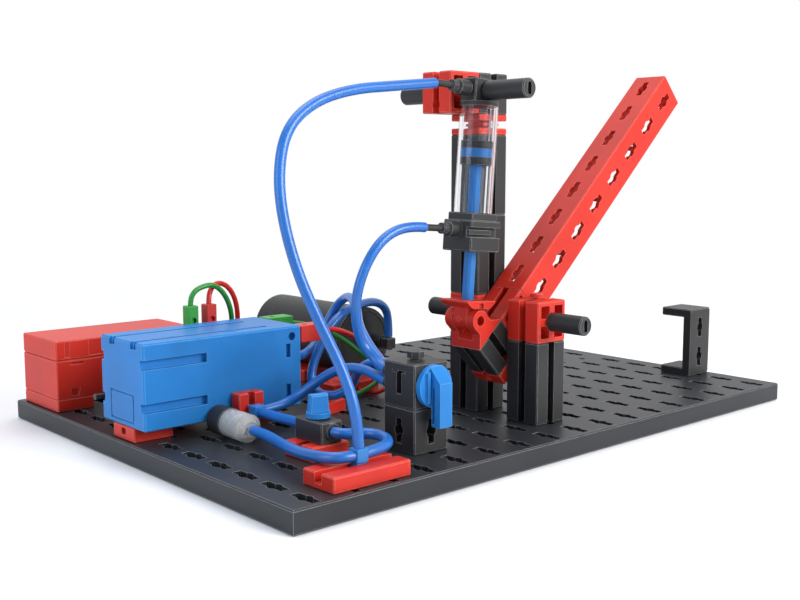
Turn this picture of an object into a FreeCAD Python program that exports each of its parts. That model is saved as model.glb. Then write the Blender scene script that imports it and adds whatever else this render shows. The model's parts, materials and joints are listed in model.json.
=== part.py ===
import FreeCAD, Part
import math
import os

# Hydraulic arm kit: a slotted base plate that carries two block towers, a
# double acting cylinder, a lifting arm, a pump, an air tank, two valves and
# a battery box.  Everything follows one 15 mm building grid.
# Working coordinates: X along the long side of the plate, Y along its short
# side, both from one corner, Z up from the top face.  Every shape is moved
# at the end so that the origin is the centre of the plate's underside.

# driving dimensions (mm)
PLATE_LENGTH = 259.0
PLATE_WIDTH = 187.0
PLATE_THICK = 7.5
MODULE = 15.0
HALF = MODULE / 2
GRID_X = 2.0
GRID_Y = 3.5
SLOT_FIRST_X = 9.5
SLOT_FIRST_Y = 7.25
SLOT_LENGTH = 10.7
SLOT_WIDTH = 3.2
SLOT_EYE = 2.4
CHAMFER = 0.4
PEG_R = 1.45
PEG_SUNK = 0.3
LOW_PLATE = 5.0
LOW_SLOT_FLOOR = 1.7
GROOVE_MOUTH = 3.2
GROOVE_EYE = 2.1
AXLE_R = 2.0
AXLE_BORE_R = 2.05
SLEEVE_R = 3.45
MID_Y = 41.0
HALF_ARM = 7.3
PIVOT_X = 129.5
PIVOT_Z = 37.5
HANG_X = 114.5
HANG_Z = 120.0
ARM_ANGLE = 43.3
TILT = 4.33
ROD_REACH = 82.1
GIRDER_LENGTH = 120.0
BARREL_R = 6.9
BARREL_BORE_R = 5.9
BARREL_TOP = 5.6
BARREL_END = 43.5
GUIDE_END = 57.4
LOW_BARB = 49.6
PISTON_END = 26.4
RING_END = 23.7
RING_HEIGHT = 3.0
RING_INNER_R = 4.4
ROD_END = 75.0
TANK_X = 122.0
TANK_Z = 19.4
TANK_R = 14.4
MOTOR_Y = 101.0
MOTOR_Z = 20.0
HOSE_R = 1.75
WIRE_R = 1.0

os.makedirs("parts", exist_ok=True)
V = FreeCAD.Vector
UP = V(0, 0, 1)
EAST = V(1, 0, 0)
NORTH = V(0, 1, 0)


def box(x0, y0, z0, x1, y1, z1):
    return Part.makeBox(x1 - x0, y1 - y0, z1 - z0, V(x0, y0, z0))


def rod(r, h, p, d=UP):
    return Part.makeCylinder(r, h, V(*p), d)


def soft_box(x0, y0, z0, x1, y1, z1, c=CHAMFER):
    b = box(x0, y0, z0, x1, y1, z1)
    return b.makeChamfer(c, b.Edges)


def prism_y(points, y0, y1):
    wire = Part.makePolygon([V(x, y0, z) for x, z in points + points[:1]])
    return Part.Face(wire).extrude(V(0, y1 - y0, 0))


def prism_x(points, x0, x1):
    wire = Part.makePolygon([V(x0, y, z) for y, z in points + points[:1]])
    return Part.Face(wire).extrude(V(x1 - x0, 0, 0))


def prism_z(points, z0, z1):
    wire = Part.makePolygon([V(x, y, z0) for x, y in points + points[:1]])
    return Part.Face(wire).extrude(V(0, 0, z1 - z0))


def fuse(first, *rest):
    return first.fuse(list(rest)).removeSplitter()


def cut(first, *tools):
    return first.cut(list(tools))


def peg(x, y, depth=5.0):
    """Round peg that stands in the plate under a part."""
    return rod(PEG_R, depth + PEG_SUNK, (x, y, -depth))


def groove(face, x0, y0, x1, y1, z0, z1):
    """Undercut groove running up one side of an upright block."""
    cx = (x0 + x1) / 2
    cy = (y0 + y1) / 2
    half = GROOVE_MOUTH / 2
    low = z0 - 1
    high = z1 + 1
    if face == "west":
        mouth = box(x0 - 1, cy - half, low, x0 + 2.6, cy + half, high)
        eye = rod(GROOVE_EYE, high - low, (x0 + 2.9, cy, low))
    if face == "east":
        mouth = box(x1 - 2.6, cy - half, low, x1 + 1, cy + half, high)
        eye = rod(GROOVE_EYE, high - low, (x1 - 2.9, cy, low))
    if face == "south":
        mouth = box(cx - half, y0 - 1, low, cx + half, y0 + 2.6, high)
        eye = rod(GROOVE_EYE, high - low, (cx, y0 + 2.9, low))
    if face == "north":
        mouth = box(cx - half, y1 - 2.6, low, cx + half, y1 + 1, high)
        eye = rod(GROOVE_EYE, high - low, (cx, y1 - 2.9, low))
    return mouth.fuse(eye)


def block(x0, y0, z0, height, foot=False):
    """Upright building block with a groove down each side."""
    x1 = x0 + MODULE
    y1 = y0 + MODULE
    z1 = z0 + height
    body = soft_box(x0, y0, z0, x1, y1, z1)
    sides = ("west", "east", "south", "north")
    body = cut(body, *[groove(s, x0, y0, x1, y1, z0, z1) for s in sides])
    if foot:
        body = fuse(body, peg(x0 + HALF, y0 + HALF))
    return body


def windows(cx, cz, y0, y1, depth=4.5):
    """Four square pockets round a hub on both open faces of a bearing block."""
    cells = []
    for sx in (-1, 1):
        for sz in (-1, 1):
            xa = cx + sx * 3.6 - 2.3
            za = cz + sz * 3.6 - 2.3
            cells.append(box(xa, y0 - 1, za, xa + 4.6, y0 + depth, za + 4.6))
            cells.append(box(xa, y1 - depth, za, xa + 4.6, y1 + 1, za + 4.6))
    hub = rod(3.3, y1 - y0 + 4, (cx, y0 - 2, cz), NORTH)
    return [c.cut(hub) for c in cells]


def bearing(x0, y0, z0):
    """Cube with a cross bore along Y and an upright groove on each end."""
    x1 = x0 + MODULE
    y1 = y0 + MODULE
    z1 = z0 + MODULE
    cx = x0 + HALF
    cz = z0 + HALF
    body = soft_box(x0, y0, z0, x1, y1, z1)
    bore = rod(AXLE_BORE_R, MODULE + 2, (cx, y0 - 1, cz), NORTH)
    body = cut(body, bore, *windows(cx, cz, y0, y1))
    return cut(body, *[groove(s, x0, y0, x1, y1, z0, z1) for s in ("west", "east")])


def keyhole(cx, cz, y, depth):
    """Upright keyhole pocket cut into a face that looks toward -Y."""
    slot = box(cx - 1.3, y - 1, cz - 4.2, cx + 1.3, y + depth, cz + 4.2)
    eye = rod(2.1, depth + 1, (cx, y - 1, cz), NORTH)
    return slot.fuse(eye)


def keyhole_west(cy, cz, x, depth):
    """Upright keyhole pocket cut into a face that looks toward -X."""
    slot = box(x - 1, cy - 1.3, cz - 4.2, x + depth, cy + 1.3, cz + 4.2)
    eye = rod(2.1, depth + 1, (x - 1, cy, cz), EAST)
    return slot.fuse(eye)


def grid_x(n):
    return GRID_X + MODULE * n


def grid_y(n):
    return GRID_Y + MODULE * n


def save(name, shape):
    """Move a finished shape to the plate's centre and write it out."""
    placed = shape.copy()
    placed.translate(V(-PLATE_LENGTH / 2, -PLATE_WIDTH / 2, PLATE_THICK))
    placed.exportStep("parts/" + name + ".step")
    lo = placed.BoundBox
    print("%-22s ok=%s solids=%d vol=%.0f z %.2f..%.2f" % (
        name, placed.isValid(), len(placed.Solids), placed.Volume, lo.ZMin, lo.ZMax))


# ---------------------------------------------------------------- base plate
def slot_wire(cx, cy, z):
    """Closed outline of one plate slot: a long slot with a round middle."""
    w = SLOT_WIDTH / 2
    h = SLOT_LENGTH / 2
    k = math.sqrt(SLOT_EYE ** 2 - w ** 2)
    p = [V(cx - w, cy - h, z), V(cx + w, cy - h, z), V(cx + w, cy - k, z)]
    q = [V(cx + w, cy + k, z), V(cx + w, cy + h, z), V(cx - w, cy + h, z)]
    r = [V(cx - w, cy + k, z), V(cx - w, cy - k, z)]
    edges = [Part.LineSegment(p[0], p[1]).toShape()]
    edges.append(Part.LineSegment(p[1], p[2]).toShape())
    edges.append(Part.Arc(p[2], V(cx + SLOT_EYE, cy, z), q[0]).toShape())
    edges.append(Part.LineSegment(q[0], q[1]).toShape())
    edges.append(Part.LineSegment(q[1], q[2]).toShape())
    edges.append(Part.LineSegment(q[2], r[0]).toShape())
    edges.append(Part.Arc(r[0], V(cx - SLOT_EYE, cy, z), r[1]).toShape())
    edges.append(Part.LineSegment(r[1], p[0]).toShape())
    return Part.Wire(edges)


rows = [SLOT_FIRST_Y + MODULE * i for i in range(6)]
rows = rows + [PLATE_WIDTH - y for y in rows]
wires = []
for j in range(17):
    for y in rows:
        wires.append(slot_wire(SLOT_FIRST_X + MODULE * j, y, -PLATE_THICK))
for j in range(16):
    ring = Part.Circle(V(SLOT_FIRST_X + MODULE * (j + 0.5), PLATE_WIDTH / 2, -PLATE_THICK), UP, 1.6)
    wires.append(Part.Wire([ring.toShape()]))
corners = [(0, 0), (PLATE_LENGTH, 0), (PLATE_LENGTH, PLATE_WIDTH), (0, PLATE_WIDTH), (0, 0)]
outline = Part.makePolygon([V(x, y, -PLATE_THICK) for x, y in corners])
face = Part.makeFace(Part.makeCompound([outline] + wires), "Part::FaceMakerBullseye")
plate = face.extrude(V(0, 0, PLATE_THICK))
rim = [e for e in plate.Edges if e.Length > 150]
plate = plate.makeChamfer(0.5, rim)
save("base_plate", plate)

# -------------------------------------------------------------------- towers
TX = grid_x(8)
REAR_Y = grid_y(3)
FRONT_Y = grid_y(1)
save("tower_front_block", block(TX, FRONT_Y, 0, 30, foot=True))
neck = rod(1.4, 1.2, (TX + HALF, FRONT_Y + HALF, 44.8))
stud = fuse(neck, rod(2.4, 1.4, (TX + HALF, FRONT_Y + HALF, 45.8)))
save("tower_front_bearing", fuse(bearing(TX, FRONT_Y, 30), stud))
stack = [block(TX, REAR_Y, 0, 30, foot=True), block(TX, REAR_Y, 45, 30), block(TX, REAR_Y, 75, 30)]
save("tower_rear_blocks", Part.makeCompound(stack))
save("tower_rear_bearing", bearing(TX, REAR_Y, 30))
save("tower_rear_top_block", block(TX, REAR_Y, 112.5, MODULE))
slabs = [soft_box(TX, REAR_Y, z, TX + MODULE, REAR_Y + MODULE, z + 2.4) for z in (105, 110.1)]
core = box(TX + 3.6, REAR_Y + 3.6, 106, TX + 11.4, REAR_Y + 11.4, 111.5)
fin = box(TX + 3.6, REAR_Y + 1, 108.3, TX + 11.4, REAR_Y + 14, 109.2)
save("tower_spacer", fuse(slabs[0], slabs[1], core, fin))
top = bearing(grid_x(7), REAR_Y, 112.5)
top = cut(top, rod(2.0, 4, (grid_x(7) - 1, REAR_Y + HALF, 115.4), EAST))
save("top_bearing", top)

# --------------------------------------------------------- axles and sleeves
long_axle = rod(AXLE_R, 57.5, (HANG_X, 23.5, HANG_Z), NORTH)
long_axle = long_axle.common(box(HANG_X - 5, 24.5, HANG_Z - 5, HANG_X + 5, 74.5, HANG_Z + 5))
short_axle = rod(AXLE_R, 64.5, (PIVOT_X, 9.5, PIVOT_Z), NORTH)
save("axles", Part.makeCompound([long_axle, short_axle]))


def sleeve(x, z, y_in, y_out, y_axle):
    """Clamp sleeve that covers one axle end, with an oblong socket outside."""
    lo = min(y_in, y_out)
    hi = max(y_in, y_out)
    body = rod(SLEEVE_R, hi - lo, (x, lo, z), NORTH)
    body = body.makeChamfer(0.45, [e for e in body.Edges if abs(e.Length - 2 * math.pi * SLEEVE_R) < 0.01])
    inner = sorted((y_in, y_axle))
    hole = rod(AXLE_R + 0.02, inner[1] - inner[0] + 1, (x, inner[0] - (1 if y_in < y_out else 0), z), NORTH)
    side = 1 if y_out > y_in else -1
    mouth = sorted((y_out + side, y_out - side * 5))
    oblong = box(x - 1.0, mouth[0], z - 1.3, x + 1.0, mouth[1], z + 1.3)
    ends = [rod(1.0, mouth[1] - mouth[0], (x, mouth[0], z + s * 1.3), NORTH) for s in (-1, 1)]
    return cut(body, hole, oblong, *ends)


sleeves = [sleeve(HANG_X, HANG_Z, 37.0, 17.5, 24.5), sleeve(HANG_X, HANG_Z, 63.5, 80.5, 74.5)]
sleeves.append(sleeve(PIVOT_X, PIVOT_Z, 18.5, 3.0, 9.5))
sleeves.append(sleeve(PIVOT_X, PIVOT_Z, 63.5, 80.5, 74.0))
washer = rod(3.2, 2.9, (HANG_X, 45.3, HANG_Z), NORTH)
sleeves.append(cut(washer, rod(AXLE_R + 0.02, 4, (HANG_X, 45, HANG_Z), NORTH)))
save("axle_sleeves", Part.makeCompound(sleeves))

# --------------------------------------------------- bracket that ends travel
BX = grid_x(16)
BY = grid_y(2)
STOP_WALL = 3.6
STOP_TOP = 2 * MODULE
shelf_low = soft_box(BX, BY, 0, BX + MODULE, BY + MODULE, STOP_WALL)
shelf_high = soft_box(BX, BY, STOP_TOP - STOP_WALL, BX + MODULE, BY + MODULE, STOP_TOP)
stop = fuse(shelf_low, shelf_high, box(BX, BY, 1, BX + MODULE, BY + STOP_WALL, STOP_TOP - 1))
for z in (8.4, 21.6):
    stop = cut(stop, keyhole(BX + HALF, z, BY, 5))
stop = fuse(stop, peg(BX + HALF, BY + HALF))
save("stop_bracket", stop)

# ------------------------------------------------------------- front plate
FX = grid_x(1)
FY = grid_y(0)
front = soft_box(FX, FY, 0, FX + 2 * MODULE, FY + MODULE, LOW_PLATE)
front = cut(front, box(FX - 1, FY + 5.9, LOW_SLOT_FLOOR, FX + 2 * MODULE + 1, FY + 9.1, LOW_PLATE + 1))
front = fuse(front, *[peg(FX + d, FY + HALF, 4.0) for d in (HALF, HALF + MODULE)])
save("plate_front", front)

# ----------------------------------------------------------------- throttle
QX = grid_x(2)
QY = grid_y(2)
pad = soft_box(QX, QY, 0, QX + MODULE, QY + MODULE, LOW_PLATE)
pad = cut(pad, box(QX - 1, QY + 5.9, LOW_SLOT_FLOOR, QX + MODULE + 1, QY + 9.1, LOW_PLATE + 1))
save("plate_throttle", fuse(pad, peg(QX + HALF, QY + HALF, 4.0)))
THX = QX + 8.4
THY = QY + 7.7
body = soft_box(THX - 4.2, QY + 0.5, 5, THX + 4.2, QY + 14.9, 12.2)
collars = [rod(2.7, 0.9, (THX, QY - 0.2, 8.9), NORTH), rod(2.7, 0.9, (THX, QY + 14.7, 8.9), NORTH)]
body = fuse(body, *collars)
body = cut(body, rod(1.56, 3.0, (THX, THY, 9.7)))
save("throttle_body", body)
blade = prism_y([(-3.6, 14.0), (3.6, 14.0), (3.1, 20.2), (-3.1, 20.2)], -1.5, 1.5)
blade = blade.makeChamfer(0.5, [e for e in blade.Edges if e.Length > 5])
knob = fuse(blade, rod(4.0, 1.7, (0, 0, 12.6)), rod(1.5, 3.0, (0, 0, 10.0)))
knob.rotate(V(0, 0, 0), UP, -12)
knob.translate(V(THX, THY, 0))
save("throttle_knob", knob)

# -------------------------------------------------------------------- valve
VX = grid_x(4)
VY = grid_y(1)
VC = VX + HALF
VW = VY + HALF
base = soft_box(VX, VY, 0, VX + MODULE, VY + MODULE, MODULE)
base = cut(base, keyhole(VC, 7.2, VY, 4), keyhole_west(VW, 7.2, VX, 4))
save("valve_base", fuse(base, peg(VC, VW)))
KZ = 22.4
upper = soft_box(VX, VY, 15, VX + MODULE, VY + MODULE, 30)
upper = cut(upper, box(VX - 1, VW - 3.3, 26.6, VX + 0.8, VW + 3.3, 27.2))
upper = cut(upper, box(VX - 1, VW - 1.2, 19.5, VX + 3.5, VW + 1.2, 27.2))
upper = cut(upper, rod(1.96, 7.0, (VC, VY - 1, KZ), NORTH))
angles = [math.pi / 8 + math.pi / 4 * k for k in range(8)]
octagon = [(VC + 3.1 * math.cos(a), VW + 3.1 * math.sin(a)) for a in angles]
upper = fuse(upper, rod(1.9, 1.2, (VC, VW, 29.8)), prism_z(octagon, 30.8, 33.0))
PORT_LOW = 21.4
PORT_HIGH = 25.6
PORT_WEST = VX + 4.0
PORT_EAST = VX + 11.0
PORT_END = VY + 18.0
ports = []
for x in (PORT_WEST, PORT_EAST):
    for z in (PORT_LOW, PORT_HIGH):
        ports.append(rod(2.0, 3.1, (x, VY + 14.9, z), NORTH))
save("valve_body", fuse(upper, *ports))
disc = rod(7.1, 2.0, (VC, VY - 2.3, KZ), NORTH)
spindle = rod(1.9, 6.5, (VC, VY - 1, KZ), NORTH)
side = [(2.2, 29.2), (7.0, 24.0), (7.0, 9.6), (3.0, 9.6), (3.0, 15.8), (2.2, 15.8)]
lever = prism_x([(VY - d, z) for d, z in side], VC - 2.7, VC + 2.7)
scoop = box(VC - 4, VY - 4.4, 10.5, VC - 1.4, VY - 3.2, 22.5)
lever = cut(lever, scoop)
rib = box(VC - 4.4, VY - 3.3, 17.5, VC - 3.4, VY - 2.0, 27.5)
save("valve_knob", fuse(disc, spindle, lever, rib))

# --------------------------------------------------------------- compressor
CX0 = grid_x(0)
CX1 = CX0 + 65
CY0 = 86.0
CY1 = 116.0
CZ0 = 5.0
CZ1 = 35.0
shell = soft_box(CX0, CY0, CZ0, CX1, CY1, CZ1, 0.6)
shell = cut(shell, box(CX0 + 3.0, CY0 + 4.4, CZ0 + 3.6, CX1 - 3.0, CY1 - 4.4, CZ1 - 3.6))
for z in (11.3, 26.1):
    shell = cut(shell, box(CX0 - 1, CY0 - 1, z, CX0 + 24.6, CY0 + 2.2, z + 3.3))
    shell = cut(shell, box(CX0 - 1, CY1 - 2.2, z, CX0 + 24.6, CY1 + 1, z + 3.3))
for y in (92.6, 107.6):
    shell = cut(shell, box(CX0 - 1, y - 1.1, CZ1 - 2.6, CX0 + 54, y + 1.1, CZ1 + 1))
    shell = cut(shell, box(CX0 - 1, y - 2.0, CZ1 - 2.6, CX0 + 1.0, y + 2.0, CZ1 + 1))
shell = cut(shell, box(CX0 - 1, 93.0, 6.6, CX0 + 0.5, 109.6, 17.0))
shell = fuse(shell, box(CX0, 93.8, 7.4, CX0 + 0.8, 108.8, 16.2))
shell = cut(shell, rod(1.6, 3.6, (CX1 - 4.2, CY0 - 1, CZ1 - 3.8), NORTH))
for z in (8.6, 23.6):
    shell = cut(shell, box(CX1 - 7.0, CY0 - 1, z, CX1 - 4.8, CY0 + 1.8, z + 5.1))
shell = cut(shell, rod(1.7, 6, (CX1 - 4, MOTOR_Y, MOTOR_Z), EAST))
shell = fuse(shell, rod(2.0, 2.6, (CX1 - 0.1, 100.0, 20.6), EAST))
save("compressor_housing", shell)
feet = []
for x in (grid_x(0), grid_x(3)):
    y = grid_y(6)
    foot = soft_box(x, y, 0, x + MODULE, y + MODULE, LOW_PLATE)
    foot = cut(foot, box(x - 1, y + 6.0, 1.8, x + MODULE + 1, y + 9.0, 4.2))
    feet.append(foot.fuse(peg(x + HALF, y + HALF, 3.0)))
for x in (grid_x(0), grid_x(3)):
    y = grid_y(10)
    foot = soft_box(x, y, 0, x + MODULE, grid_y(12), LOW_PLATE)
    feet.append(fuse(foot, *[peg(x + HALF, y + d, 3.0) for d in (HALF, HALF + MODULE)]))
foot = soft_box(grid_x(7), 138.5, 0, grid_x(9), 168.5, LOW_PLATE)
feet.append(cut(foot, rod(TANK_R + 0.1, 50, (TANK_X, 121, TANK_Z), NORTH)))
save("foot_plates", Part.makeCompound(feet))
motor = rod(10.2, 30.2, (CX0 + 31.8, MOTOR_Y, MOTOR_Z), EAST)
motor = fuse(motor, rod(3.2, 2.0, (CX0 + 29.9, MOTOR_Y, MOTOR_Z), EAST))
motor = cut(motor, rod(1.06, 6, (CX0 + 29, MOTOR_Y, MOTOR_Z), EAST))
save("compressor_motor", motor)
crank = rod(4.6, 3.0, (CX0 + 22, MOTOR_Y, MOTOR_Z), EAST)
shaft = rod(1.0, 14, (CX0 + 20.5, MOTOR_Y, MOTOR_Z), EAST)
crank = fuse(crank, shaft, rod(1.6, 5.0, (CX0 + 17.5, MOTOR_Y + 2.2, MOTOR_Z), EAST))
save("pump_crank", crank)

# ----------------------------------------------------------------- air tank
shell = rod(TANK_R, 52, (TANK_X, 124, TANK_Z), NORTH)
shell = cut(shell, rod(TANK_R - 1.6, 48.4, (TANK_X, 123, TANK_Z), NORTH))
seam_at = (TANK_X, 167.0, TANK_Z)
seam = cut(rod(TANK_R + 1, 0.6, seam_at, NORTH), rod(TANK_R - 0.4, 0.6, seam_at, NORTH))
save("tank_shell", cut(shell, seam))
lid = rod(TANK_R, 8.0, (TANK_X, 116, TANK_Z), NORTH)
lid = fuse(lid, rod(TANK_R - 1.7, 4.0, (TANK_X, 123.9, TANK_Z), NORTH))
lid = cut(lid, rod(TANK_R - 1.6, 1.0, (TANK_X, 115.5, TANK_Z), NORTH))
lid = cut(lid, rod(TANK_R - 3.4, 9.0, (TANK_X, 119.5, TANK_Z), NORTH))
slit = box(TANK_X - 9.6, 115.0, TANK_Z + 5.2, TANK_X - 1.8, 118.2, TANK_Z + 6.6)
slit.rotate(V(TANK_X, 116, TANK_Z), NORTH, 26)
lid = cut(lid, slit)
save("tank_end", lid)
TFX = 128.5
TFZ = 18.8
nut = rod(2.9, 6.6, (TFX, 109.9, TFZ), NORTH)
neck = rod(1.5, 3.4, (TFX, 107.0, TFZ), NORTH)
elbow = soft_box(TFX - 2.3, 104.8, TFZ - 2.3, TFX + 2.3, 109.4, TFZ + 2.3)
spout = rod(1.2, 3.2, (TFX, 107.1, TFZ + 1.0))
save("tank_fitting", fuse(nut, neck, elbow, spout))

# --------------------------------------------------------------- battery box
BBX0 = grid_x(0)
BBX1 = BBX0 + 60
BBY0 = grid_y(10)
BBY1 = grid_y(12)
case = soft_box(BBX0, BBY0, 5, BBX1, BBY1, 19.9)
case = cut(case, box(BBX0 + 1.8, BBY0 + 1.8, 7.0, BBX1 - 1.8, BBY1 - 1.8, 21))
case = cut(case, box(BBX0 + 5.5, BBY0 - 1, 17.9, BBX0 + 11.2, BBY0 + 1, 18.9))
latch = [(5.5, 8.6), (9.3, 8.6), (8.6, 5.8), (6.1, 5.8)]
case = cut(case, prism_y([(BBX0 + d, z) for d, z in latch], BBY0 - 1, BBY0 + 1.2))
case = fuse(case, box(BBX1 - 6, BBY0 + 1.6, 6, BBX1 - 5, BBY1 - 1.6, 19))
save("battery_case", case)
cap = soft_box(BBX0, BBY0, 20.0, BBX1, BBY1, 27.5)
cap = cut(cap, box(BBX0 + 2.8, BBY0 + 2.8, 19, BBX1 - 2.8, BBY1 - 2.8, 25.6))
cap = cut(cap, box(BBX0 + 3.6, BBY0 - 1, 20.9, BBX0 + 5.6, BBY0 + 0.4, 27.0))
cap = cut(cap, box(BBX0 + 13.4, BBY0 - 1, 20.9, BBX0 + 30, BBY0 + 0.4, 27.0))
lip = box(BBX0 + 2.0, BBY0 + 2.0, 18.4, BBX1 - 7.4, BBY1 - 2.0, 20.4)
lip = cut(lip, box(BBX0 + 3.4, BBY0 + 3.4, 18, BBX1 - 8.8, BBY1 - 3.4, 21))
save("battery_lid", fuse(cap, lip))

# ------------------------------------------------ check valve, tees, grooves
KX = 30.4
KZC = 5.5
cap = rod(5.1, 8.2, (KX, 77.6, KZC), NORTH)
cap = fuse(cap, rod(2.4, 1.0, (KX, 85.0, KZC), NORTH))
cap = cap.makeChamfer(0.5, [e for e in cap.Edges if abs(e.Length - 2 * math.pi * 5.1) < 0.01])
save("check_cap", cap)
glass = rod(4.9, 10.6, (KX, 67.0, KZC), NORTH)
glass = cut(glass, rod(3.4, 8.6, (KX, 69.4, KZC), NORTH))
taper = Part.makeCone(2.6, 4.9, 1.6, V(KX, 65.4, KZC), NORTH)
glass = fuse(glass, taper, rod(1.4, 2.0, (KX, 63.9, KZC), NORTH))
save("check_body", glass)
HX = 36.2
rail = soft_box(HX, CY0 - 5, 6.4, HX + 10.4, CY0 - 0.1, 14.0, 0.3)
rail = cut(rail, box(HX + 3.8, CY0 - 6, 5, HX + 6.6, CY0 - 2.2, 15))
save("groove_block", fuse(rail, box(HX + 3, CY0 - 0.3, 8, HX + 7.4, CY0, 12)))


def tee(x, y, z, *ways):
    """Push-on hose tee: a small cube with a stub end each way."""
    core = soft_box(x - 2.2, y - 2.2, z - 2.2, x + 2.2, y + 2.2, z + 2.2, 0.3)
    stubs = []
    for d in ways:
        stubs.append(rod(1.5, 1.2, (x + d.x * 2.1, y + d.y * 2.1, z + d.z * 2.1), d))
    return fuse(core, *stubs)


T1X = 32.4
T1Y = FY + HALF
T1Z = 7.6
foot = box(T1X - 1.9, T1Y - 1.55, 1.7, T1X + 1.9, T1Y + 1.55, 5.6)
save("tee_front", fuse(tee(T1X, T1Y, T1Z, EAST, EAST * -1, UP), foot))
T2X = HX + 5.2
T2Y = 77.6
T2Z = 7.9
lug = box(T2X - 1.3, T2Y + 2, T2Z - 2.0, T2X + 1.3, T2Y + 6.1, T2Z + 1.4)
save("tee_rear", fuse(tee(T2X, T2Y, T2Z, EAST, NORTH * -1), lug))

# -------------------------------------------------------------- wire plugs
def plug_up(x, y, z):
    body = soft_box(x - 2.2, y - 2.2, z, x + 2.2, y + 2.2, z + 12.5, 0.3)
    body = cut(body, rod(1.0, 2.0, (x + 0.2, y - 3, z + 7.0), NORTH))
    return fuse(body, rod(1.3, 1.9, (x, y, z - 1.8)))


def plug_side(x, y, z):
    body = soft_box(x, y - 3.4, z - 3.2, x + 12.0, y + 3.4, z + 3.2, 0.3)
    body = cut(body, rod(1.1, 2.0, (x + 4, y, z + 2), UP))
    return fuse(body, rod(1.3, 1.6, (x - 1.5, y, z), EAST))


UP_GREEN = 41.1
UP_RED = 49.1
UP_Y = 120.6
save("plugs_green", Part.makeCompound([plug_up(UP_GREEN, UP_Y, 28.6), plug_side(CX1 + 1.5, 112.6, 31.6)]))
save("plugs_red", Part.makeCompound([plug_up(UP_RED, UP_Y, 28.6), plug_side(CX1 + 1.5, 91.4, 31.0)]))
socket = soft_box(CX0 + 34, CY1, 12, CX0 + 56, CY1 + 8.6, 28.4)
socket = cut(socket, rod(1.36, 3, (UP_GREEN, UP_Y, 26.2)), rod(1.36, 3, (UP_RED, UP_Y, 26.2)))
rest = soft_box(97.0, 104.5, 0, 121.0, 115.4, 5.2)
rest = cut(rest, box(112.4, 106.0, 3.4, 113.8, 110.0, 6))
dome = Part.makeSphere(5.2, V(104.0, 110.0, 2.2)).common(box(96, 104, 4.9, 110, 116, 12))
rest = fuse(rest, dome, peg(114.5, 107.5, 4.0))
wedge = prism_z([(76.0, 83.2), (87.0, 85.0), (88.0, 91.0), (79.4, 92.6)], 0, 4.4)
wedge = cut(wedge, prism_x([(82.0, 3.0), (82.0, 6.0), (87.5, 6.0)], 70, 95))
save("switch_body", Part.makeCompound([rest, wedge]))
holder = soft_box(CX0 + 6, CY1, 9.6, CX0 + 12, CY1 + 5.6, 14.6, 0.3)
spout = fuse(holder, rod(1.0, 8.0, (CX0 - 1.3, CY1 + 3.4, 12.1), EAST))
save("rear_socket", Part.makeCompound([socket, spout]))

# ---------------------------------------------------------------- cylinder
hang = V(HANG_X, MID_Y, HANG_Z)


def tilt(shape):
    """Swing a part drawn upright about the hanging axle to its rest angle."""
    turned = shape.copy()
    turned.rotate(hang, NORTH, TILT)
    return turned


def z_at(t):
    return HANG_Z - t


lug = soft_box(HANG_X - 6, MID_Y - 3.6, z_at(4.4), HANG_X + 6, MID_Y + 3.6, z_at(-4.2))
collar = rod(6.9, 1.6, (HANG_X, MID_Y, z_at(BARREL_TOP)))


def barb(x, z):
    """Push-on hose end: a thick collar, a neck with one ridge and a thin tip."""
    thick = rod(2.7, 6.6, (x - 12.4, MID_Y, z), EAST)
    thick = thick.makeChamfer(0.9, [e for e in thick.Edges if abs(e.Length - 2 * math.pi * 2.7) < 0.01])
    neck = rod(1.6, 8.0, (x - 13.6, MID_Y, z), EAST)
    ridge = rod(2.0, 1.1, (x - 14.8, MID_Y, z), EAST)
    tip = rod(1.2, 9.0, (x - 22.0, MID_Y, z), EAST)
    return fuse(thick, neck, ridge, tip)


head = fuse(lug, collar, barb(HANG_X, z_at(-0.4)))
head = cut(head, rod(AXLE_R + 0.06, 20, (HANG_X, MID_Y - 10, HANG_Z), NORTH))
save("cylinder_top_cap", tilt(head))
barrel = rod(BARREL_R, BARREL_END - BARREL_TOP, (HANG_X, MID_Y, z_at(BARREL_END)))
fin = box(HANG_X + 6, MID_Y - 0.7, z_at(BARREL_END), HANG_X + 9.3, MID_Y + 0.7, z_at(BARREL_TOP))
barrel = fuse(barrel, fin)
barrel = cut(barrel, rod(BARREL_BORE_R, 40, (HANG_X, MID_Y, z_at(44.5))))
save("cylinder_barrel", tilt(barrel))
flange = soft_box(HANG_X - 6.4, MID_Y - 6.2, z_at(46.4), HANG_X + 6.4, MID_Y + 6.2, z_at(BARREL_END), 0.3)
guide = soft_box(HANG_X - HALF, MID_Y - 7.2, z_at(GUIDE_END), HANG_X + HALF, MID_Y + 7.2, z_at(46.2))
guide = cut(guide, box(HANG_X - 9, MID_Y - 9, z_at(52.2), HANG_X + 9, MID_Y - 4.6, z_at(48.6)))
rail = box(HANG_X - 7.3, MID_Y - 6.0, z_at(51.2), HANG_X + 3.5, MID_Y - 4.4, z_at(49.6))
guide = fuse(flange, guide, rail, barb(HANG_X - 0.8, z_at(LOW_BARB)))
guide = cut(guide, rod(2.2, 16, (HANG_X, MID_Y, z_at(58))))
save("cylinder_bottom_cap", tilt(guide))

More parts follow.
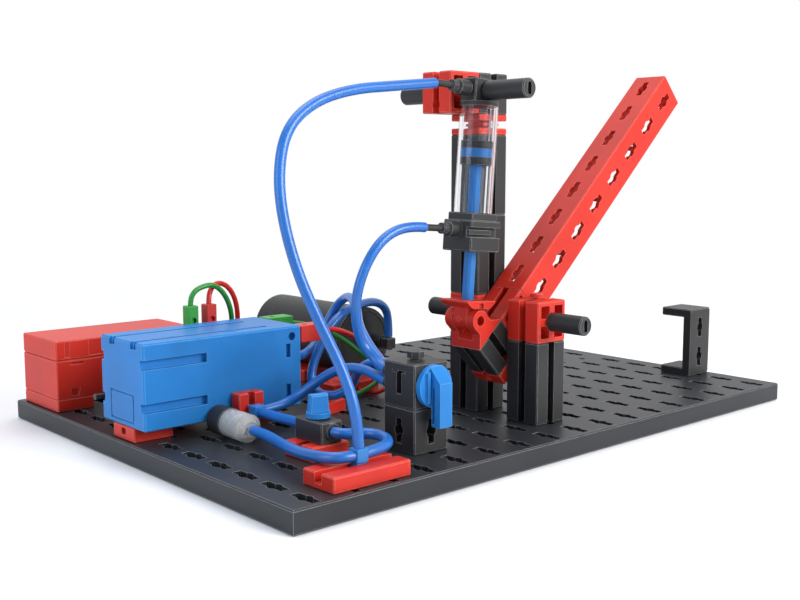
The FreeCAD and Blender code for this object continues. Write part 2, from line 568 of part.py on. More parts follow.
# -------------------------------------------------------------- piston, rod
disc = rod(5.8, 8.5, (HANG_X, MID_Y, z_at(PISTON_END)))
ring_at = (HANG_X, MID_Y, z_at(RING_END))
ring_core = rod(RING_INNER_R, RING_HEIGHT, ring_at)
notch = cut(rod(7, RING_HEIGHT, ring_at), ring_core)
save("piston", tilt(cut(disc, notch)))
save("piston_ring", tilt(cut(rod(5.84, RING_HEIGHT, ring_at), ring_core)))
w = 1.85
c = 0.7
section = [(-w, c - w), (c - w, -w), (w - c, -w), (w, c - w)]
section += [(-x, -y) for x, y in section]
section = [(HANG_X + x, MID_Y + y) for x, y in section]
save("piston_rod", tilt(prism_z(section, z_at(ROD_END), z_at(PISTON_END))))
plan = [(-7.1, 75.0), (7.1, 75.0), (7.1, 75.6), (4.2, 77.7), (-4.2, 77.7), (-7.1, 75.6)]
plan = [(HANG_X + x, z_at(t)) for x, t in plan]
eye = prism_y(plan, MID_Y - 7.2, MID_Y + 7.2)
stem = box(HANG_X - 3.3, MID_Y - 3.3, z_at(ROD_REACH), HANG_X + 3.3, MID_Y + 3.3, z_at(77.5))
ring = rod(3.5, 6.6, (HANG_X, MID_Y - 3.3, z_at(ROD_REACH)), NORTH)
eye = fuse(eye, stem, ring)
eye = cut(eye, box(HANG_X - 1.4, MID_Y - 8, z_at(77.9), HANG_X + 1.2, MID_Y - 6.0, z_at(75.7)))
eye = cut(eye, rod(1.7, 1.2, (HANG_X, MID_Y - 3.4, z_at(ROD_REACH)), NORTH))
eye = cut(eye, rod(1.7, 1.2, (HANG_X, MID_Y + 2.2, z_at(ROD_REACH)), NORTH))
eye = fuse(eye, rod(1.0, 1.0, (HANG_X - 4.1, MID_Y, z_at(ROD_REACH)), EAST))
save("rod_eye", tilt(eye))


# ----------------------------------------------------------------------- arm
def place_arm(shape):
    """Turn a part drawn level to the arm's rest angle and put it on its axle."""
    turned = shape.copy()
    turned.rotate(V(0, 0, 0), NORTH, -ARM_ANGLE)
    turned.translate(V(PIVOT_X, MID_Y, PIVOT_Z))
    return turned


H = HALF_ARM
BACK = -HALF - MODULE
hub = soft_box(-HALF, -H, -HALF, HALF, H, HALF)
hub = cut(hub, rod(AXLE_R + 0.07, 20, (0, -10, 0), NORTH), *windows(0, 0, -H, H, 4.3))
hub = cut(hub, box(-9, -1.6, 4.9, 9, 1.6, 9), rod(2.1, 20, (-10, 0, 4.8), EAST))
save("arm_hub", place_arm(hub))
lump = soft_box(BACK, -H, -HALF, -HALF, H, HALF)
lump = cut(lump, groove("west", BACK, -HALF, -HALF, HALF, -HALF, HALF))
lump = cut(lump, *[groove(s, BACK, -H, -HALF, H, -HALF, HALF) for s in ("south", "north")])
save("arm_block", place_arm(lump))
cap = soft_box(BACK, -H, -12.6, -HALF, H, -HALF)
cap = cut(cap, box(-24, -1.4, -10.8, -21.4, 1.4, -7.0))
save("arm_cap", place_arm(cap))
profile = [(BACK, HALF), (-HALF, HALF), (-11.3, 11.3), (-11.3, MODULE), (-18.7, MODULE), (-18.7, 11.3)]
fork = prism_y(profile, -H, H)
fork = fuse(fork, rod(3.8, 2 * H, (-MODULE, -H, MODULE), NORTH))
fork = cut(fork, box(-24, -3.55, 9.7, -6, 3.55, 20))
fork = cut(fork, rod(1.85, 20, (-MODULE, -10, MODULE), NORTH))
save("arm_clevis", place_arm(fork))
G0 = HALF
G1 = G0 + GIRDER_LENGTH
girder = box(G0, -H, -HALF, G1, H, HALF)
girder = girder.makeChamfer(0.35, [e for e in girder.Edges if e.Length > 100])
girder = cut(girder, box(G0 + 1.8, -H + 1.8, -9, G1 - 1.8, H - 1.8, 5.7))
holes = []
for k in range(8):
    s = G0 + HALF + MODULE * k
    holes.append(box(s - 4.2, -10, -1.3, s + 4.2, 10, 1.3))
    holes.append(rod(2.1, 20, (s, -10, 0), NORTH))
    holes.append(box(s - 4.2, -1.3, 5, s + 4.2, 1.3, 9))
    holes.append(rod(2.1, 4, (s, 0, 5)))
girder = cut(girder, *holes)
girder = cut(girder, rod(2.1, 3, (G1 - 2.4, 0, 0), EAST))
girder = fuse(girder, *[box(G0 + d, -H + 1, -6.6, G0 + d + 1.2, H - 1, -5.2) for d in (30, 60, 90)])
save("arm_girder", place_arm(girder))


# ------------------------------------------------------------ hoses and wires
def centre_line(points):
    """Straight runs joined by tangent arcs, with the radius of every arc."""
    pts = [V(*p) for p in points]
    edges = []
    radii = []
    last = pts[0]
    for before, corner, after in zip(pts, pts[1:], pts[2:]):
        back = (before - corner).normalize()
        ahead = (after - corner).normalize()
        turn = math.pi - back.getAngle(ahead)
        trim = 0.45 * min(before.distanceToPoint(corner), after.distanceToPoint(corner))
        radius = trim / math.tan(turn / 2)
        inward = (back + ahead).normalize()
        middle = corner + inward * (math.hypot(trim, radius) - radius)
        start = corner + back * trim
        end = corner + ahead * trim
        edges.append(Part.LineSegment(last, start).toShape())
        edges.append(Part.Arc(start, middle, end).toShape())
        radii.append(radius)
        last = end
    edges.append(Part.LineSegment(last, pts[-1]).toShape())
    return Part.Wire(edges), radii


def cord(name, radius, points):
    """Plain round tube along a route, written out as its own piece."""
    path, radii = centre_line(points)
    start = V(*points[0])
    section = Part.Wire([Part.Circle(start, V(*points[1]) - start, radius).toShape()])
    tube = path.makePipeShell([section], True, False)
    share = tube.Volume / (math.pi * radius ** 2 * path.Length)
    print("%-22s length %.1f volume ratio %.3f radii %s" % (
        name, path.Length, share, " ".join("%.1f" % r for r in radii)))
    save(name, tube)


cord("hose_check_to_tee", HOSE_R, [
    (30.4, 63.9, 5.5), (29.5, 55.0, 5.7), (27.0, 46.0, 6.0), (24.4, 36.6, 6.3),
    (22.8, 27.4, 6.6), (23.0, 19.2, 7.1), (24.0, 14.6, 7.4), (26.3, 11.5, 7.6),
    (29.1, 11.0, 7.6)])
cord("hose_lift_top", HOSE_R, [
    (32.4, 11.0, 10.9), (32.3, 11.5, 20.0), (30.7, 16.3, 33.0), (27.5, 23.6, 47.0),
    (24.4, 30.2, 62.0), (22.2, 34.2, 78.0), (22.6, 36.6, 92.0), (27.0, 38.2, 105.0),
    (38.5, 39.6, 113.4), (54.5, 40.4, 118.0), (73.0, 40.9, 119.9), (92.0, 41.0, 121.8)])
cord("hose_tee_throttle", HOSE_R, [
    (35.7, 11.0, 7.6), (40.8, 11.2, 7.9), (46.0, 13.0, 8.2), (49.6, 17.8, 8.4),
    (50.0, 23.6, 8.5), (47.2, 28.0, 8.6), (43.4, 28.6, 8.8), (40.9, 30.5, 8.9),
    (40.4, 33.3, 8.9)])
cord("hose_throttle_tee", HOSE_R, [
    (40.4, 49.1, 8.9), (40.5, 57.4, 8.5), (41.0, 66.0, 8.0), (41.4, 74.3, 7.9)])
cord("hose_tee_valve", HOSE_R, [
    (44.7, 77.6, 7.9), (51.2, 77.0, 8.4), (57.0, 74.2, 11.8), (60.8, 68.8, 17.0),
    (63.2, 62.2, 21.6), (65.2, 55.2, 23.8), (66.6, 48.0, 23.6), (66.4, 41.8, 22.4),
    (PORT_WEST, PORT_END, PORT_LOW)])
cord("hose_lift_low", HOSE_R, [
    (87.4, 41.0, 72.3), (79.0, 41.2, 73.2), (68.8, 41.8, 69.5), (61.8, 42.8, 60.5),
    (58.9, 44.5, 49.2), (60.9, 46.3, 39.6), (63.9, 46.6, 32.6), (66.3, 43.2, 28.6),
    (66.1, 40.0, 26.1), (PORT_WEST, PORT_END, PORT_HIGH)])
cord("hose_tank_valve", HOSE_R, [
    (128.5, 107.1, 23.0), (128.4, 106.9, 29.5), (125.3, 106.0, 35.0), (118.3, 104.2, 37.7),
    (109.5, 101.4, 37.9), (100.8, 98.6, 37.0), (93.4, 97.0, 34.4), (88.2, 96.8, 29.6),
    (84.3, 97.2, 23.3), (81.2, 97.6, 17.0), (79.4, 96.8, 11.0), (78.8, 92.6, 7.2),
    (79.0, 86.8, 6.4), (81.4, 82.0, 7.2), (84.0, 79.2, 10.0), (82.8, 74.2, 13.6),
    (79.0, 68.4, 17.2), (75.2, 62.6, 20.2), (72.6, 57.0, 22.8), (71.2, 51.6, 24.9),
    (70.8, 46.6, 25.9), (71.6, 41.8, 26.1), (PORT_EAST, PORT_END, PORT_HIGH)])
cord("hose_pump_valve", HOSE_R, [
    (69.5, 100.0, 20.6), (76.5, 101.3, 19.8), (83.5, 103.5, 20.6), (89.5, 104.8, 24.6),
    (93.8, 104.8, 31.0), (96.8, 102.6, 38.0), (97.0, 96.2, 42.4), (93.2, 88.0, 42.6),
    (88.3, 79.2, 40.2), (81.6, 70.4, 35.6), (77.8, 61.4, 31.0), (76.4, 52.8, 25.6),
    (75.4, 45.2, 22.0), (PORT_EAST, PORT_END, PORT_LOW)])
cord("wire_green_battery", WIRE_R, [
    (UP_GREEN, UP_Y, 41.1), (41.2, 120.6, 43.6), (42.6, 120.4, 46.2), (45.4, 120.3, 47.8),
    (50.6, 120.2, 48.6), (54.4, 120.2, 46.2), (57.4, 120.5, 42.2), (59.6, 121.4, 37.2),
    (61.0, 123.2, 31.6), (62.6, 127.6, 25.6), (64.6, 134.0, 20.2), (66.4, 141.8, 15.8),
    (67.4, 149.6, 13.0), (67.3, 153.4, 12.3), (66.4, 156.8, 12.0), (64.4, 158.4, 12.0),
    (62.0, 158.5, 12.0)])
cord("wire_red_battery", WIRE_R, [
    (UP_RED, UP_Y, 41.1), (49.2, 120.7, 43.5), (50.5, 121.7, 46.0), (53.2, 123.0, 48.2),
    (56.8, 123.8, 48.4), (60.2, 123.8, 46.4), (62.8, 124.0, 42.6), (64.6, 124.8, 37.6),
    (66.4, 127.4, 31.4), (69.2, 132.4, 25.2), (72.2, 139.6, 19.8), (74.2, 148.0, 15.6),
    (74.6, 156.6, 12.8), (72.4, 163.4, 12.1), (67.8, 166.5, 12.0), (62.0, 166.5, 12.0)])
cord("wire_red_switch", WIRE_R, [
    (80.5, 91.4, 31.0), (85.3, 91.8, 31.0), (91.5, 92.8, 29.6), (99.7, 95.0, 26.3),
    (108.0, 97.4, 22.4), (115.2, 99.8, 18.2), (120.6, 101.2, 13.2), (122.6, 99.4, 8.0),
    (119.6, 95.8, 4.2), (114.4, 94.4, 2.2), (110.5, 96.4, 1.5), (109.7, 100.2, 1.5),
    (109.7, 104.5, 1.7)])
cord("wire_green_switch", WIRE_R, [
    (80.5, 112.6, 31.6), (86.5, 112.8, 30.8), (94.0, 112.8, 28.4), (101.4, 112.1, 25.4),
    (107.9, 110.8, 21.6), (112.6, 108.4, 17.2), (115.4, 104.4, 13.4), (116.2, 99.8, 10.2),
    (114.4, 96.6, 7.0), (110.8, 96.6, 4.4), (107.0, 98.2, 2.5), (103.4, 98.0, 1.7),
    (100.7, 99.0, 1.5), (100.1, 101.8, 1.6), (100.0, 104.5, 1.7)])
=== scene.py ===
import json
import math

import bpy
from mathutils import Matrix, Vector


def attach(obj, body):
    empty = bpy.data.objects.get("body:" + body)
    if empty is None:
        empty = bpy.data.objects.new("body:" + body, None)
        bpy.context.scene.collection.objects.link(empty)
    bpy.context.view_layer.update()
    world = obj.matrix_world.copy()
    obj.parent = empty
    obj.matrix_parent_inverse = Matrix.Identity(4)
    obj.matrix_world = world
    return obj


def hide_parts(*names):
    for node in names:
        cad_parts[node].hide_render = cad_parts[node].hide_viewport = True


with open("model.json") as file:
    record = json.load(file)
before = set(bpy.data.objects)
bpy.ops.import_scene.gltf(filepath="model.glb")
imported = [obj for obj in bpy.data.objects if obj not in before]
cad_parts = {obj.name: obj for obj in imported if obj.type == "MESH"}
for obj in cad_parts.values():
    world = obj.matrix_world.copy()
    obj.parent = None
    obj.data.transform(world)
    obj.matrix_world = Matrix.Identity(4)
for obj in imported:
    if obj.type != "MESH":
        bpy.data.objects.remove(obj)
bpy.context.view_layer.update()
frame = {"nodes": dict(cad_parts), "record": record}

MM = 0.001
PLATE_LENGTH = 259.0
PLATE_WIDTH = 187.0
PLATE_THICK = 7.5
CORNER = Vector((-PLATE_LENGTH / 2, -PLATE_WIDTH / 2, PLATE_THICK))
HOSE = 3.5 * MM
WIRE = 2.0 * MM

# camera
CAMERA_PLACE = (-0.2966, -0.3240, 0.1017)
CAMERA_TILT = math.radians(82.75)
CAMERA_TURN = math.radians(-41.83)
CAMERA_LENS = 48.2
SENSOR_WIDTH = 36.0
CAMERA_NEAR = 0.01
CAMERA_FAR = 50.0

# surfaces: noise scales count cells per metre
CLOUD_SCALE = 45.0
CLOUD_LOW = 0.3
CLOUD_HIGH = 0.7
GRAIN_SCALE = 2600.0
GRAIN_HEIGHT = 0.1 * MM
GRAIN_STRENGTH = 0.08
GLOSS_SPREAD = 0.12
COAT_ROUGH = 0.25
EDGE_RADIUS = 0.2 * MM
# painted edge highlight: width, strength and normal-likeness range of the paler colour laid along edges
HIGHLIGHT_RADIUS = 0.35 * MM
HIGHLIGHT_AMOUNT = 0.7
FLAT_LIKENESS = 0.985
EDGE_LIKENESS = 0.92
FLOW_SCALE = 160.0
FLOW_SHADE = 0.94
FLOW_SPREAD = 0.3
CLEAR_IOR = 1.3
CLEAR_SHEEN = 0.3
STEEL_SCALE = 900.0
STEEL_DARK = (0.42, 0.43, 0.45, 1.0)
STEEL_PALE = (0.66, 0.67, 0.69, 1.0)
STEEL_ROUGH = 0.32

# cords
CORD_STEPS = 10
CORD_FACETS = 6

# studio: the floor's fade is a distance from the frame's origin
FLOOR_SIZE = 60.0
FADE_START = 0.17
FADE_END = 0.50
WHITE = (1.0, 1.0, 1.0, 1.0)
DIM_GREY = (0.30, 0.33, 0.38, 1.0)
AWAY_FROM_CAMERA = (0.667, 0.745, 0.0)
FULL_WHITE_AT = 0.75
TARGET = (0.0, 0.0, 0.06)


def at(x, y, z):
    """Frame position in metres of a point given in mm from the plate's front top corner."""
    return (Vector((x, y, z)) + CORNER) * MM


# ------------------------------------------------------------------ camera
def add_camera():
    data = bpy.data.cameras.new("camera")
    data.lens = CAMERA_LENS
    data.sensor_width = SENSOR_WIDTH
    data.clip_start = CAMERA_NEAR
    data.clip_end = CAMERA_FAR
    camera = bpy.data.objects.new("camera", data)
    camera.location = CAMERA_PLACE
    camera.rotation_euler = (CAMERA_TILT, 0.0, CAMERA_TURN)
    bpy.context.collection.objects.link(camera)
    bpy.context.scene.camera = camera


add_camera()


# --------------------------------------------------------------- materials
def new_material(name):
    material = bpy.data.materials.new(name)
    material.use_nodes = True
    tree = material.node_tree
    shader = tree.nodes["Principled BSDF"]
    return material, tree, shader


def shade_of(colour, factor):
    return tuple(min(1.0, c * factor) for c in colour) + (1.0,)


def painted_edge_highlight(tree, colour):
    """Painted highlight: paler colour along a moulding's edges, where a rounded normal leaves the flat one.
    """
    round_normal = tree.nodes.new("ShaderNodeBevel")
    round_normal.inputs["Radius"].default_value = HIGHLIGHT_RADIUS
    surface = tree.nodes.new("ShaderNodeNewGeometry")
    likeness = tree.nodes.new("ShaderNodeVectorMath")
    likeness.operation = "DOT_PRODUCT"
    mask = tree.nodes.new("ShaderNodeMapRange")
    mask.inputs["From Min"].default_value = FLAT_LIKENESS
    mask.inputs["From Max"].default_value = EDGE_LIKENESS
    mask.inputs["To Max"].default_value = HIGHLIGHT_AMOUNT
    mix = tree.nodes.new("ShaderNodeMix")
    mix.data_type = "RGBA"
    mix.inputs["B"].default_value = (*colour, 1.0)
    tree.links.new(round_normal.outputs["Normal"], likeness.inputs[0])
    tree.links.new(surface.outputs["Normal"], likeness.inputs[1])
    tree.links.new(likeness.outputs["Value"], mask.inputs["Value"])
    tree.links.new(mask.outputs["Result"], mix.inputs["Factor"])
    return mix


def plastic(name, colour, rough, sheen=0.5, grain=1.0, mottle=0.12, coat=0.0, highlight_colour=None, rounded=True):
    """Moulded plastic: slightly uneven colour and gloss with a fine grain, plus a painted highlight along the
    edges when given a colour for it.
    """
    material, tree, shader = new_material(name)
    place = tree.nodes.new("ShaderNodeTexCoord")
    cloud = tree.nodes.new("ShaderNodeTexNoise")
    cloud.inputs["Scale"].default_value = CLOUD_SCALE
    cloud.inputs["Detail"].default_value = 3.0
    ramp = tree.nodes.new("ShaderNodeValToRGB")
    ramp.color_ramp.elements[0].position = CLOUD_LOW
    ramp.color_ramp.elements[0].color = shade_of(colour, 1.0 - mottle)
    ramp.color_ramp.elements[1].position = CLOUD_HIGH
    ramp.color_ramp.elements[1].color = shade_of(colour, 1.0 + mottle)
    gloss = tree.nodes.new("ShaderNodeMapRange")
    gloss.inputs["To Min"].default_value = rough * (1.0 - GLOSS_SPREAD)
    gloss.inputs["To Max"].default_value = rough * (1.0 + GLOSS_SPREAD)
    fine = tree.nodes.new("ShaderNodeTexNoise")
    fine.inputs["Scale"].default_value = GRAIN_SCALE
    fine.inputs["Detail"].default_value = 2.0
    bump = tree.nodes.new("ShaderNodeBump")
    bump.inputs["Strength"].default_value = GRAIN_STRENGTH * grain
    bump.inputs["Distance"].default_value = GRAIN_HEIGHT
    links = tree.links
    if rounded:
        edge = tree.nodes.new("ShaderNodeBevel")
        edge.inputs["Radius"].default_value = EDGE_RADIUS
        links.new(edge.outputs["Normal"], bump.inputs["Normal"])
    links.new(place.outputs["Object"], cloud.inputs["Vector"])
    links.new(place.outputs["Object"], fine.inputs["Vector"])
    links.new(cloud.outputs["Fac"], ramp.inputs["Fac"])
    links.new(cloud.outputs["Fac"], gloss.inputs["Value"])
    links.new(fine.outputs["Fac"], bump.inputs["Height"])
    tint = ramp.outputs["Color"]
    # painted highlight: paler colour mixed in along the edges
    if highlight_colour:
        highlighted = painted_edge_highlight(tree, highlight_colour)
        links.new(tint, highlighted.inputs["A"])
        tint = highlighted.outputs["Result"]
    links.new(tint, shader.inputs["Base Color"])
    links.new(gloss.outputs["Result"], shader.inputs["Roughness"])
    links.new(bump.outputs["Normal"], shader.inputs["Normal"])
    shader.inputs["Specular IOR Level"].default_value = sheen
    shader.inputs["Coat Weight"].default_value = coat
    shader.inputs["Coat Roughness"].default_value = COAT_ROUGH
    return material


def clear_plastic(name, colour, rough, through):
    """Clear or milky moulding with faint flow marks."""
    material, tree, shader = new_material(name)
    place = tree.nodes.new("ShaderNodeTexCoord")
    flow = tree.nodes.new("ShaderNodeTexNoise")
    flow.inputs["Scale"].default_value = FLOW_SCALE
    ramp = tree.nodes.new("ShaderNodeValToRGB")
    ramp.color_ramp.elements[0].color = shade_of(colour, FLOW_SHADE)
    ramp.color_ramp.elements[1].color = shade_of(colour, 1.0)
    gloss = tree.nodes.new("ShaderNodeMapRange")
    gloss.inputs["To Min"].default_value = rough * (1.0 - FLOW_SPREAD)
    gloss.inputs["To Max"].default_value = rough * (1.0 + FLOW_SPREAD)
    links = tree.links
    links.new(place.outputs["Object"], flow.inputs["Vector"])
    links.new(flow.outputs["Fac"], ramp.inputs["Fac"])
    links.new(flow.outputs["Fac"], gloss.inputs["Value"])
    links.new(ramp.outputs["Color"], shader.inputs["Base Color"])
    links.new(gloss.outputs["Result"], shader.inputs["Roughness"])
    shader.inputs["Transmission Weight"].default_value = through
    shader.inputs["IOR"].default_value = CLEAR_IOR
    shader.inputs["Specular IOR Level"].default_value = CLEAR_SHEEN
    return material


def steel(name):
    """Ground steel with a fine uneven grain."""
    material, tree, shader = new_material(name)
    place = tree.nodes.new("ShaderNodeTexCoord")
    grain = tree.nodes.new("ShaderNodeTexNoise")
    grain.inputs["Scale"].default_value = STEEL_SCALE
    ramp = tree.nodes.new("ShaderNodeValToRGB")
    ramp.color_ramp.elements[0].color = STEEL_DARK
    ramp.color_ramp.elements[1].color = STEEL_PALE
    tree.links.new(place.outputs["Object"], grain.inputs["Vector"])
    tree.links.new(grain.outputs["Fac"], ramp.inputs["Fac"])
    tree.links.new(ramp.outputs["Color"], shader.inputs["Base Color"])
    shader.inputs["Metallic"].default_value = 1.0
    shader.inputs["Roughness"].default_value = STEEL_ROUGH
    return material


RED = (0.61, 0.026, 0.014)
BLUE = (0.013, 0.180, 0.52)
BLACK = (0.026, 0.026, 0.027)
# painted highlight colours laid along moulding edges
HIGHLIGHT_RED = (0.95, 0.30, 0.22)
HIGHLIGHT_BLUE = (0.16, 0.52, 0.88)
HIGHLIGHT_BLACK = (0.40, 0.40, 0.39)
MATERIALS = {
    "plate_black": plastic("plate_black", (0.024, 0.026, 0.030), 0.42, sheen=0.3, highlight_colour=HIGHLIGHT_BLACK),
    "block_black": plastic("block_black", BLACK, 0.45, sheen=0.35, highlight_colour=HIGHLIGHT_BLACK),
    "part_red": plastic("part_red", RED, 0.42, sheen=0.3, highlight_colour=HIGHLIGHT_RED),
    "part_blue": plastic("part_blue", BLUE, 0.42, sheen=0.3, highlight_colour=HIGHLIGHT_BLUE),
    "clear_barrel": clear_plastic("clear_barrel", (0.97, 0.98, 1.0), 0.03, 1.0),
    "frosted_body": clear_plastic("frosted_body", (0.97, 0.97, 0.95), 0.28, 0.70),
    "plug_green": plastic("plug_green", (0.02, 0.30, 0.03), 0.4),
    "plug_red": plastic("plug_red", (0.62, 0.022, 0.014), 0.4),
    "piston_blue": plastic("piston_blue", (0.012, 0.17, 0.52), 0.35),
    "hose_fitting": plastic("hose_fitting", (0.02, 0.20, 0.58), 0.35),
    "hose_blue": plastic(
        "hose_blue", (0.010, 0.134, 0.49), 0.32, sheen=0.55, grain=0.03, coat=0.15, rounded=False),
    "wire_green": plastic("wire_green", (0.015, 0.24, 0.03), 0.35, grain=0.1, rounded=False),
    "wire_red": plastic("wire_red", (0.60, 0.016, 0.010), 0.35, grain=0.1, rounded=False),
    "steel": steel("steel"),
}
SLOT_OF = {part["node"]: part["material_slot"] for part in frame["record"]["subparts"]}


def dress(obj, slot):
    obj.data.materials.clear()
    obj.data.materials.append(MATERIALS[slot])


for node, obj in frame["nodes"].items():
    dress(obj, SLOT_OF[node])


# --------------------------------------------------------- hoses and wires
def spline_object(name, points, diameter):
    """Round tube along a smooth curve whose control points are given in mm."""
    data = bpy.data.curves.new(name, "CURVE")
    data.dimensions = "3D"
    data.resolution_u = CORD_STEPS
    data.bevel_depth = diameter / 2
    data.bevel_resolution = CORD_FACETS
    data.use_fill_caps = True
    spline = data.splines.new("NURBS")
    spline.points.add(len(points) - 1)
    for control, p in zip(spline.points, points):
        control.co = (*at(*p), 1.0)
    spline.order_u = 3
    spline.use_endpoint_u = True
    obj = bpy.data.objects.new(name, data)
    bpy.context.collection.objects.link(obj)
    return obj


def flexible(node, slot, diameter, points):
    obj = spline_object("shown_" + node, points, diameter)
    dress(obj, slot)
    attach(obj, "base")
    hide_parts(node)


flexible("hose_check_to_tee", "hose_blue", HOSE, [
    (30.4, 63.9, 5.5), (29.5, 55.0, 5.7), (27.0, 46.0, 6.0), (24.4, 36.6, 6.3),
    (22.8, 27.4, 6.6), (23.0, 19.2, 7.1), (24.0, 14.6, 7.4), (26.3, 11.5, 7.6),
    (30.2, 11.0, 7.6)])
flexible("hose_lift_top", "hose_blue", HOSE, [
    (32.4, 11.0, 9.8), (32.3, 11.5, 20.0), (30.7, 16.3, 33.0), (27.5, 23.6, 47.0),
    (24.4, 30.2, 62.0), (22.2, 34.2, 78.0), (22.6, 36.6, 92.0), (27.0, 38.2, 105.0),
    (38.5, 39.6, 113.4), (54.5, 40.4, 118.0), (73.0, 40.9, 119.9), (92.0, 41.0, 121.8)])
flexible("hose_tee_throttle", "hose_blue", HOSE, [
    (34.6, 11.0, 7.6), (40.8, 11.2, 7.9), (46.0, 13.0, 8.2), (49.6, 17.8, 8.4),
    (50.0, 23.6, 8.5), (47.2, 28.0, 8.6), (43.4, 28.6, 8.8), (40.9, 30.5, 8.9),
    (40.4, 33.3, 8.9)])
flexible("hose_throttle_tee", "hose_blue", HOSE, [
    (40.4, 47.6, 8.9), (40.5, 57.4, 8.5), (41.0, 66.0, 8.0), (41.4, 76.0, 7.9)])
flexible("hose_tee_valve", "hose_blue", HOSE, [
    (43.6, 77.6, 7.9), (51.2, 77.0, 8.4), (57.0, 74.2, 11.8), (60.8, 68.8, 17.0),
    (63.2, 62.2, 21.6), (65.2, 55.2, 23.8), (66.6, 48.0, 23.6), (66.4, 41.8, 22.4),
    (66.0, 36.5, 21.4)])
flexible("hose_lift_low", "hose_blue", HOSE, [
    (87.4, 41.0, 72.3), (79.0, 41.2, 73.2), (68.8, 41.8, 69.5), (61.8, 42.8, 60.5),
    (58.9, 44.5, 49.2), (60.9, 46.3, 39.6), (63.9, 46.6, 32.6), (66.3, 43.2, 28.6),
    (66.1, 40.0, 26.1), (66.0, 36.5, 25.6)])
flexible("hose_tank_valve", "hose_blue", HOSE, [
    (128.5, 107.1, 21.6), (128.4, 106.9, 29.5), (125.3, 106.0, 35.0), (118.3, 104.2, 37.7),
    (109.5, 101.4, 37.9), (100.8, 98.6, 37.0), (93.4, 97.0, 34.4), (88.2, 96.8, 29.6),
    (84.3, 97.2, 23.3), (81.2, 97.6, 17.0), (79.4, 96.8, 11.0), (78.8, 92.6, 7.2),
    (79.0, 86.8, 6.4), (81.4, 82.0, 7.2), (84.0, 79.2, 10.0), (82.8, 74.2, 13.6),
    (79.0, 68.4, 17.2), (75.2, 62.6, 20.2), (72.6, 57.0, 22.8), (71.2, 51.6, 24.9),
    (70.8, 46.6, 25.9), (71.6, 41.8, 26.1), (73.0, 36.5, 25.6)])
flexible("hose_pump_valve", "hose_blue", HOSE, [
    (69.5, 100.0, 20.6), (76.5, 101.3, 19.8), (83.5, 103.5, 20.6), (89.5, 104.8, 24.6),
    (93.8, 104.8, 31.0), (96.8, 102.6, 38.0), (97.0, 96.2, 42.4), (93.2, 88.0, 42.6),
    (88.3, 79.2, 40.2), (81.6, 70.4, 35.6), (77.8, 61.4, 31.0), (76.4, 52.8, 25.6),
    (75.4, 45.2, 22.0), (73.0, 36.5, 21.4)])
flexible("wire_green_battery", "wire_green", WIRE, [
    (41.1, 120.6, 41.1), (41.2, 120.6, 43.6), (42.6, 120.4, 46.2), (45.4, 120.3, 47.8),
    (50.6, 120.2, 48.6), (54.4, 120.2, 46.2), (57.4, 120.5, 42.2), (59.6, 121.4, 37.2),
    (61.0, 123.2, 31.6), (62.6, 127.6, 25.6), (64.6, 134.0, 20.2), (66.4, 141.8, 15.8),
    (67.4, 149.6, 13.0), (67.3, 153.4, 12.3), (66.4, 156.8, 12.0), (64.4, 158.4, 12.0),
    (62.0, 158.5, 12.0)])
flexible("wire_red_battery", "wire_red", WIRE, [
    (49.1, 120.6, 41.1), (49.2, 120.7, 43.5), (50.5, 121.7, 46.0), (53.2, 123.0, 48.2),
    (56.8, 123.8, 48.4), (60.2, 123.8, 46.4), (62.8, 124.0, 42.6), (64.6, 124.8, 37.6),
    (66.4, 127.4, 31.4), (69.2, 132.4, 25.2), (72.2, 139.6, 19.8), (74.2, 148.0, 15.6),
    (74.6, 156.6, 12.8), (72.4, 163.4, 12.1), (67.8, 166.5, 12.0), (62.0, 166.5, 12.0)])
flexible("wire_red_switch", "wire_red", WIRE, [
    (80.5, 91.4, 31.0), (85.3, 91.8, 31.0), (91.5, 92.8, 29.6), (99.7, 95.0, 26.3),
    (108.0, 97.4, 22.4), (115.2, 99.8, 18.2), (120.6, 101.2, 13.2), (122.6, 99.4, 8.0),
    (119.6, 95.8, 4.2), (114.4, 94.4, 2.2), (110.5, 96.4, 1.5), (109.7, 100.2, 1.5),
    (109.7, 104.5, 1.7)])
flexible("wire_green_switch", "wire_green", WIRE, [
    (80.5, 112.6, 31.6), (86.5, 112.8, 30.8), (94.0, 112.8, 28.4), (101.4, 112.1, 25.4),
    (107.9, 110.8, 21.6), (112.6, 108.4, 17.2), (115.4, 104.4, 13.4), (116.2, 99.8, 10.2),
    (114.4, 96.6, 7.0), (110.8, 96.6, 4.4), (107.0, 98.2, 2.5), (103.4, 98.0, 1.7),
    (100.7, 99.0, 1.5), (100.1, 101.8, 1.6), (100.0, 104.5, 1.7)])


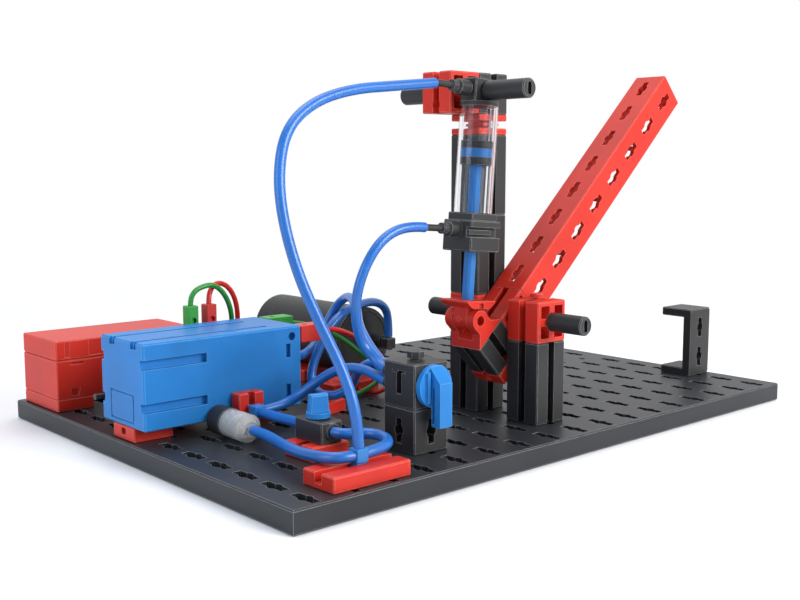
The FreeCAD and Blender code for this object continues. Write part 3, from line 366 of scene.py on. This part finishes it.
# ------------------------------------------------------------------ studio
def floor_paper():
    """Matt white paper that turns to plain white light away from the object."""
    material = plastic("floor_paper", (0.90, 0.90, 0.91), 0.9, sheen=0.05, grain=0.2, mottle=0.01)
    tree = material.node_tree
    out = tree.nodes["Material Output"]
    place = tree.nodes.new("ShaderNodeTexCoord")
    reach = tree.nodes.new("ShaderNodeVectorMath")
    reach.operation = "LENGTH"
    fade = tree.nodes.new("ShaderNodeMapRange")
    fade.interpolation_type = "SMOOTHSTEP"
    fade.inputs["From Min"].default_value = FADE_START
    fade.inputs["From Max"].default_value = FADE_END
    glow = tree.nodes.new("ShaderNodeEmission")
    glow.inputs["Color"].default_value = WHITE
    both = tree.nodes.new("ShaderNodeMixShader")
    tree.links.new(place.outputs["Object"], reach.inputs[0])
    tree.links.new(reach.outputs["Value"], fade.inputs["Value"])
    tree.links.new(fade.outputs["Result"], both.inputs["Fac"])
    tree.links.new(tree.nodes["Principled BSDF"].outputs["BSDF"], both.inputs[1])
    tree.links.new(glow.outputs["Emission"], both.inputs[2])
    tree.links.new(both.outputs["Shader"], out.inputs["Surface"])
    return material


def add_floor():
    bpy.ops.mesh.primitive_plane_add(size=FLOOR_SIZE, location=(0.0, 0.0, 0.0))
    floor = bpy.context.object
    floor.name = "floor"
    floor.data.materials.append(floor_paper())


def add_area(name, place, size, power, colour, target=TARGET):
    data = bpy.data.lights.new(name, "AREA")
    data.shape = "RECTANGLE"
    data.size = size[0]
    data.size_y = size[1]
    data.energy = power
    data.color = colour
    lamp = bpy.data.objects.new(name, data)
    lamp.location = place
    lamp.rotation_euler = (Vector(target) - Vector(place)).to_track_quat("-Z", "Y").to_euler()
    bpy.context.collection.objects.link(lamp)


def add_world():
    """White backdrop behind the object, fading to grey on the camera's side."""
    world = bpy.data.worlds.new("studio")
    world.use_nodes = True
    tree = world.node_tree
    sky = tree.nodes["Background"]
    place = tree.nodes.new("ShaderNodeTexCoord")
    facing = tree.nodes.new("ShaderNodeVectorMath")
    facing.operation = "DOT_PRODUCT"
    facing.inputs[1].default_value = AWAY_FROM_CAMERA
    ramp = tree.nodes.new("ShaderNodeValToRGB")
    ramp.color_ramp.elements[0].position = 0.0
    ramp.color_ramp.elements[0].color = DIM_GREY
    ramp.color_ramp.elements[1].position = FULL_WHITE_AT
    ramp.color_ramp.elements[1].color = WHITE
    tree.links.new(place.outputs["Generated"], facing.inputs[0])
    tree.links.new(facing.outputs["Value"], ramp.inputs["Fac"])
    tree.links.new(ramp.outputs["Color"], sky.inputs["Color"])
    sky.inputs["Strength"].default_value = 1.0
    bpy.context.scene.world = world
    bpy.context.scene.view_settings.view_transform = "Standard"


add_floor()
add_world()
add_area("key", place=(0.30, -0.90, 0.45), size=(0.6, 0.5), power=10.5, colour=(1.0, 0.98, 0.95))
add_area(
    "top", place=(-0.05, 0.1, 0.95), size=(0.8, 0.8), power=5.0, colour=(0.97, 0.98, 1.0),
    target=(0.0, 0.0, 0.05))
add_area("left", place=(-0.85, 0.05, 0.35), size=(0.5, 0.5), power=2.5, colour=(0.80, 0.90, 1.0))
